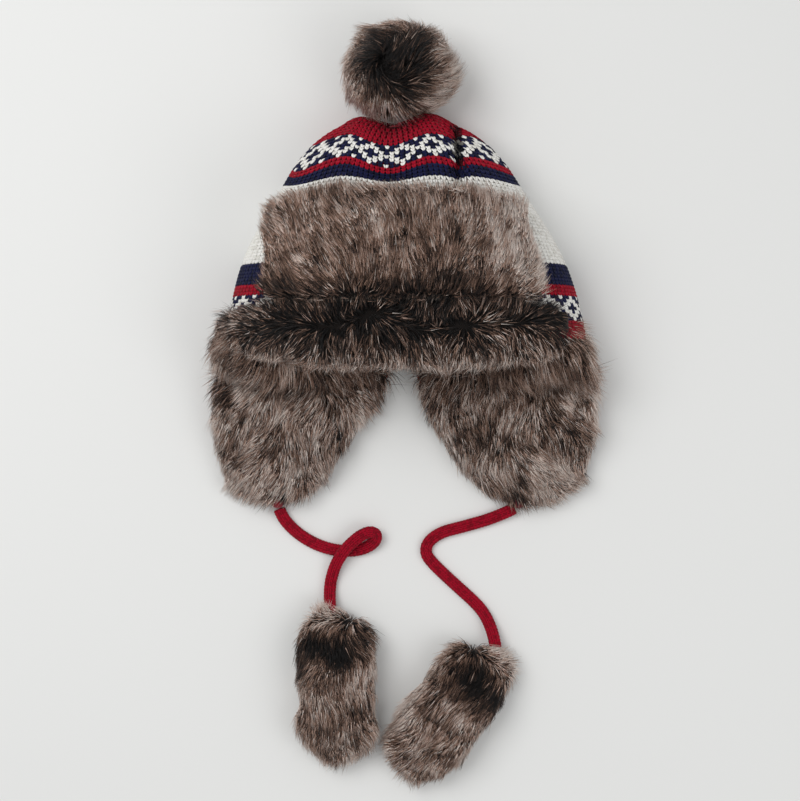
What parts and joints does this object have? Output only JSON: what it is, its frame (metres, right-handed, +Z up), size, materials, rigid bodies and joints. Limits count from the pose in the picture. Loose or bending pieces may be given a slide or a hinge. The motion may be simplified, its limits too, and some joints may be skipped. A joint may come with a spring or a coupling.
{
  "type": "trapper hat",
  "caption": "Knitted patterned winter hat with a turned-up fur front, fur-lined ear flaps, a fur pompom, and knitted ties ending in stuffed fur tassels.",
  "frame": {"origin": "middle of the hat's footprint as it lies on its back, without its ties and tassels, on the resting surface", "axes": "+X towards the wearer's left, +Y towards the crown and pompom, +Z up out of the hat's front"},
  "size_m": [0.2634, 0.5256, 0.0974],
  "materials": {
    "knit": "stranded two-colour knit in red, navy and cream yarn, matte and slightly fuzzy",
    "tie_knit": "deep red fine knit, matte",
    "fleece": "cream brushed fleece, matte",
    "fur": "long faux fur with dark roots and light grey-brown tips, soft sheen",
    "backing": "woven cloth backing, matte",
    "stuffing": "white fibre filling, matte",
    "thread": "twisted sewing thread, slight sheen",
    "label_tape": "blank woven satin tape",
    "button": "small moulded two-hole button"
  },
  "bodies": {
    "hat": {"knit_shell": "knit", "crown_lining": "fleece", "brow_band_fur": "fur", "nape_band_fur": "fur", "gather_thread": "thread", "anchor_button": "button", "blank_label": "label_tape"},
    "front_flap": {"front_flap_fur": "fur", "front_flap_backing": "backing"},
    "pompom_tether": {"pompom_tether": "thread"},
    "pompom": {"pompom_fur": "fur", "pompom_stuffing": "stuffing"},
    "left_ear_flap": {"left_flap_fur": "fur", "left_flap_knit": "tie_knit"},
    "left_tie_root": {"left_tie_tack": "thread"},
    "left_tie": {"left_tie": "tie_knit"},
    "left_tassel": {"left_tassel_fur": "fur", "left_tassel_stuffing": "stuffing", "left_tassel_knot": "tie_knit"},
    "right_ear_flap": {"right_flap_fur": "fur", "right_flap_knit": "tie_knit"},
    "right_tie_root": {"right_tie_tack": "thread"},
    "right_tie": {"right_tie": "tie_knit"},
    "right_tassel": {"right_tassel_fur": "fur", "right_tassel_stuffing": "stuffing", "right_tassel_knot": "tie_knit"}
  },
  "joints": [
    {"name": "front_flap_fold", "type": "hinge", "parent": "hat", "child": "front_flap", "pos_m": [0, -0.029, 0.0965], "axis": [1, 0, 0], "range_deg": [0, 165]},
    {"name": "pompom_swing", "type": "hinge", "parent": "hat", "child": "pompom_tether", "pos_m": [-0.004, 0.0929, 0.034], "axis": [0, 0, 1], "range_deg": [-12, 12]},
    {"name": "pompom_lift", "type": "hinge", "parent": "pompom_tether", "child": "pompom", "pos_m": [-0.004, 0.0929, 0.034], "axis": [1, 0, 0], "range_deg": [0, 38]},
    {"name": "left_ear_flap_fold", "type": "hinge", "parent": "hat", "child": "left_ear_flap", "pos_m": [0, -0.079, 0.003], "axis": [-1, 0, 0], "range_deg": [0, 50]},
    {"name": "left_tie_drape", "type": "hinge", "parent": "left_ear_flap", "child": "left_tie_root", "pos_m": [0.08, -0.1695, 0.006], "axis": [1, 0, 0], "range_deg": [0, 70]},
    {"name": "left_tie_swing", "type": "hinge", "parent": "left_tie_root", "child": "left_tie", "pos_m": [0.08, -0.1695, 0.006], "axis": [0, 0, 1], "range_deg": [0, 35]},
    {"name": "left_tassel_swing", "type": "hinge", "parent": "left_tie", "child": "left_tassel", "pos_m": [0.064, -0.28, 0.012], "axis": [0, 0, 1], "range_deg": [0, 30]},
    {"name": "right_ear_flap_fold", "type": "hinge", "parent": "hat", "child": "right_ear_flap", "pos_m": [0, -0.079, 0.003], "axis": [-1, 0, 0], "range_deg": [0, 50]},
    {"name": "right_tie_drape", "type": "hinge", "parent": "right_ear_flap", "child": "right_tie_root", "pos_m": [-0.09, -0.1695, 0.006], "axis": [1, 0, 0], "range_deg": [0, 70]},
    {"name": "right_tie_swing", "type": "hinge", "parent": "right_tie_root", "child": "right_tie", "pos_m": [-0.09, -0.1695, 0.006], "axis": [0, 0, -1], "range_deg": [0, 35]},
    {"name": "right_tassel_swing", "type": "hinge", "parent": "right_tie", "child": "right_tassel", "pos_m": [-0.0525, -0.249, 0.012], "axis": [0, 0, -1], "range_deg": [0, 30]}
  ],
  "couplings": [
    {"joint": "left_tie_drape", "follows": "left_ear_flap_fold", "ratio": 1.4},
    {"joint": "right_tie_drape", "follows": "right_ear_flap_fold", "ratio": 1.4}
  ]
}
